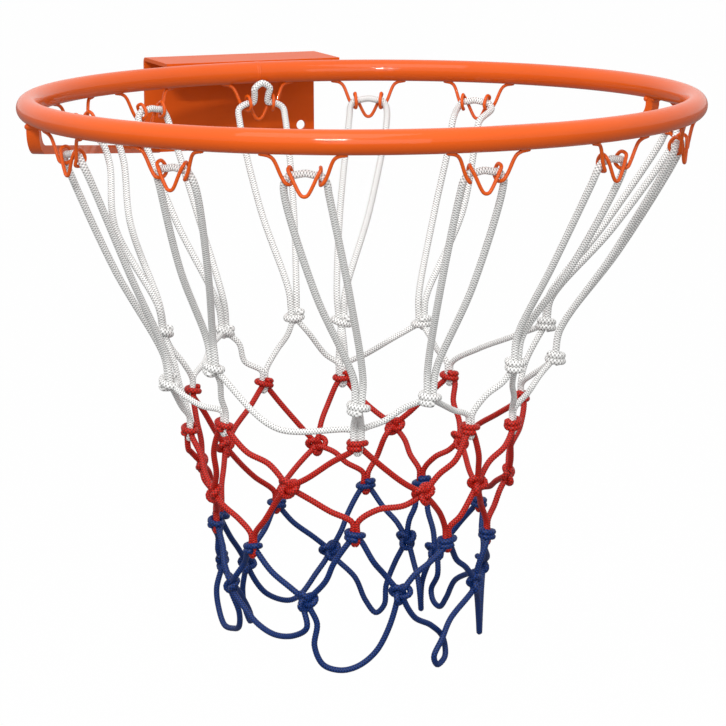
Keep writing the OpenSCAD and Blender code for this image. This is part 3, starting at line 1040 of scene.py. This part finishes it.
@dataclass
class Studio:
    """A white floor, soft light from above and in front, and the camera."""

    azimuth: float = -20.25
    elevation: float = 6.15
    distance: float = 2.25
    aim_drop: float = 0.186
    roll: float = -0.25
    lens: float = 158.5
    floor_z: float = -1.0
    floor_half: float = 30.0
    whiteness: float = 0.97
    bounce: float = 0.3
    sky: float = 0.88

    def camera(self) -> None:
        """Makes the camera, aimed at a point straight below the ring's centre."""
        ring = RING_CENTRE * MM
        turn, rise = math.radians(self.azimuth), math.radians(self.elevation)
        back = np.array([math.sin(turn) * math.cos(rise), -math.cos(turn) * math.cos(rise), math.sin(rise)])
        place = ring + self.distance * back
        aim = ring - [0, 0, self.aim_drop]
        ahead = unit(aim - place)
        right = unit(np.cross(ahead, [0, 0, 1]))
        up = np.cross(right, ahead)
        tip = math.radians(self.roll)
        right, up = (
            math.cos(tip) * right + math.sin(tip) * up,
            math.cos(tip) * up - math.sin(tip) * right,
        )
        data = bpy.data.cameras.new("camera")
        data.lens = self.lens
        data.clip_end = 100.0
        made = bpy.data.objects.new("camera", data)
        matrix = np.eye(4)
        matrix[:3, 0], matrix[:3, 1], matrix[:3, 2], matrix[:3, 3] = right, up, -ahead, place
        made.matrix_world = Matrix(matrix)
        bpy.context.scene.collection.objects.link(made)
        bpy.context.scene.camera = made

    def lamp(
        self, name: str, place: tuple[float, float, float], size: tuple[float, float], power: float
    ) -> None:
        """Hangs a soft lamp of the given width and height that faces the ring."""
        data = bpy.data.lights.new(name, "AREA")
        data.shape = "RECTANGLE"
        data.size, data.size_y = size
        data.energy = power
        made = bpy.data.objects.new(name, data)
        made.location = place
        toward = Vector(RING_CENTRE * MM) - Vector(place)
        made.rotation_euler = toward.to_track_quat("-Z", "Y").to_euler()
        bpy.context.scene.collection.objects.link(made)

    def world(self) -> None:
        """Lights the scene evenly, and shows white to the camera and in reflections."""
        world = bpy.data.worlds.new("studio")
        world.use_nodes = True
        tree = world.node_tree
        tree.nodes.clear()
        path = add_node(tree, "ShaderNodeLightPath", {}, {}).outputs
        seen = add_node(
            tree, "ShaderNodeMath", {"operation": "MAXIMUM"},
            {0: path["Is Camera Ray"], 1: path["Is Glossy Ray"]},
        )
        seen = add_node(
            tree, "ShaderNodeMath", {"operation": "MAXIMUM"},
            {0: seen.outputs[0], 1: path["Is Transmission Ray"]},
        )
        soft = add_node(tree, "ShaderNodeBackground", {}, {"Color": WHITE, "Strength": self.sky})
        white = add_node(tree, "ShaderNodeBackground", {}, {"Color": WHITE, "Strength": 1.0})
        mix = add_node(
            tree, "ShaderNodeMixShader", {}, {0: seen.outputs[0], 1: soft.outputs[0], 2: white.outputs[0]}
        )
        add_node(tree, "ShaderNodeOutputWorld", {}, {0: mix.outputs[0]})
        bpy.context.scene.world = world

    def floor(self) -> None:
        """Lays a matt white floor.

        It shows near white, keeps the object's shadow and lights the object from below.
        """
        half = self.floor_half
        mesh = bpy.data.meshes.new("studio_floor")
        corners = [(x * half, y * half, self.floor_z) for x, y in ((-1, -1), (1, -1), (1, 1), (-1, 1))]
        mesh.from_pydata(corners, [], [(0, 1, 2, 3)])
        material, tree, output = new_material("matt_white_floor")
        path = add_node(tree, "ShaderNodeLightPath", {}, {}).outputs
        paint = add_node(tree, "ShaderNodeBsdfDiffuse", {}, {"Color": linear("#EDEDED")})
        glow = add_node(
            tree,
            "ShaderNodeMath",
            {"operation": "MULTIPLY_ADD"},
            {0: path["Is Camera Ray"], 1: 1 - self.bounce, 2: self.bounce},
        )
        lift = add_node(tree, "ShaderNodeEmission", {}, {"Color": WHITE, "Strength": glow.outputs[0]})
        mix = add_node(
            tree,
            "ShaderNodeMixShader",
            {},
            {0: self.whiteness, 1: paint.outputs[0], 2: lift.outputs[0]},
        )
        tree.links.new(mix.outputs[0], output.inputs[0])
        mesh.materials.append(material)
        made = bpy.data.objects.new("studio_floor", mesh)
        bpy.context.scene.collection.objects.link(made)

    def build(self) -> None:
        """Sets up the whole studio."""
        self.camera()
        self.lamp("top_softbox", place=(-0.7, -1.1, 2.0), size=(1.6, 1.6), power=18.0)
        self.lamp("front_strip", place=(-1.5, -2.9, 1.6), size=(0.6, 0.05), power=45.0)
        self.lamp("front_fill", place=(-0.8, -3.1, 0.5), size=(1.8, 1.8), power=17.0)
        self.world()
        self.floor()
        bpy.context.scene.view_settings.view_transform = "Standard"


def main() -> None:
    """Builds the studio, the net and the rim."""
    logging.basicConfig(level=logging.INFO, format="%(message)s")
    Studio().build()
    steel = PowderCoat().material()
    sheet = PowderCoat("powder_coat_on_sheet", "#D8560E", "#CE500A", gloss=0.12).material()
    rim = Rim(steel, sheet)
    thick, thin = 4.8, 4.0
    # Each cord's second colour is its painted shade, in the gaps of the braid.
    net = Net(
        white=BraidedCord(
            "white_braided_polyester", "#FFFFFD", "#3A3836", thick, relief_mm=0.16, softness=0.6
        ),
        red=BraidedCord(
            "red_braided_polyester", "#D42414", "#480404", thin, relief_mm=0.22, softness=0.9
        ),
        blue=BraidedCord(
            "navy_braided_polyester", "#0C357C", "#030A1E", thin, relief_mm=0.22, softness=0.9
        ),
        hooks=rim.hook_angles(),
    )
    net.build()
    rim.build()


if __name__ == "__main__":
    main()
